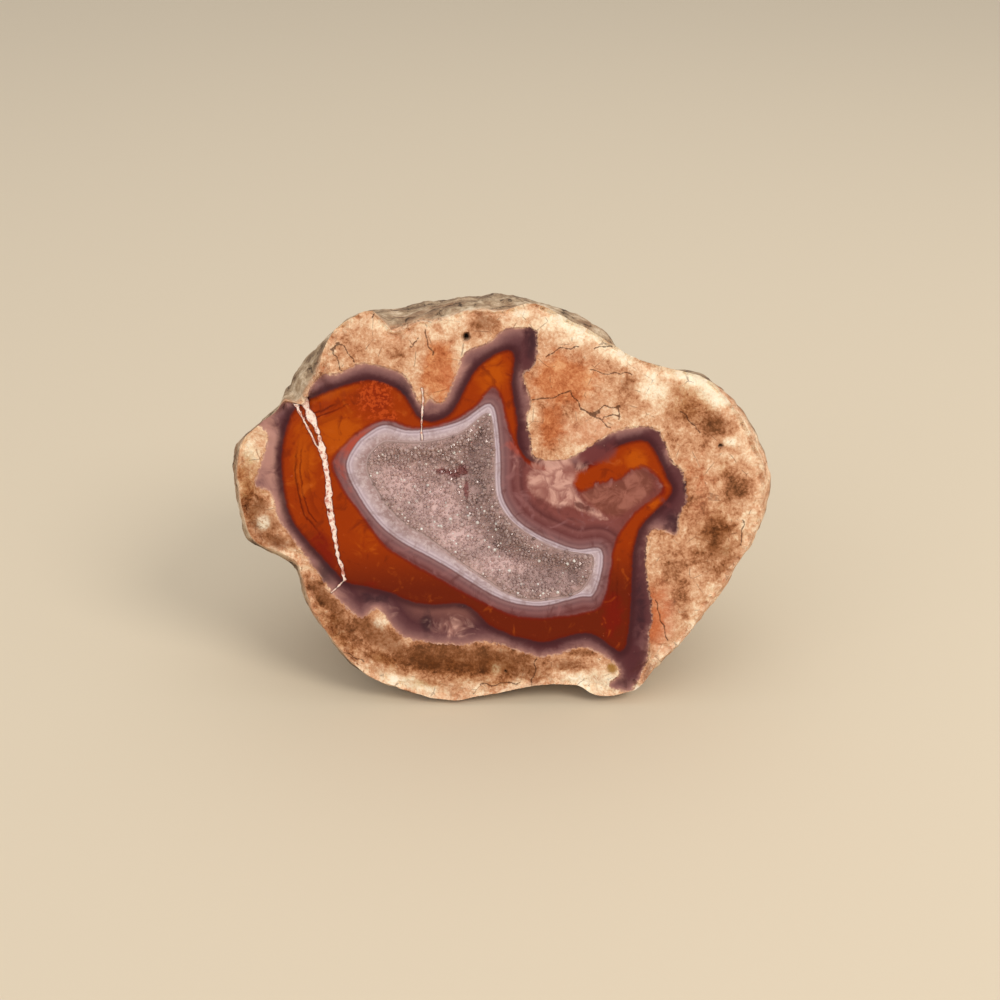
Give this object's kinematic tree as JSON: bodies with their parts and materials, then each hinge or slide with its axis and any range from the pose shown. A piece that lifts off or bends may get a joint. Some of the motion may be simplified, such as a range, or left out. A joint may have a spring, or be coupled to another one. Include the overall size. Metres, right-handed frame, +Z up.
{
  "type": "agate geode",
  "caption": "Half agate geode: a knobbly brown rhyolite nodule sawn flat, with banded purple and orange-red agate around a shallow hollow lined with quartz crystals.",
  "frame": {"origin": "middle of the box around the stone, on the surface that it rests on", "axes": "+X to the right along the sawn face as seen from the front, +Y from the sawn face into the stone, +Z up; the sawn face looks along -Y and leans back 15 degrees"},
  "size_m": [0.1114, 0.0628, 0.08],
  "materials": {
    "stone": "rough grey-brown rind; the sawn face is polished and banded purple and orange-red",
    "quartz": "small glassy crystals, greyish lilac"
  },
  "bodies": {
    "root": {"geode_stone": "stone", "quartz_druse": "quartz"}
  },
  "joints": []
}
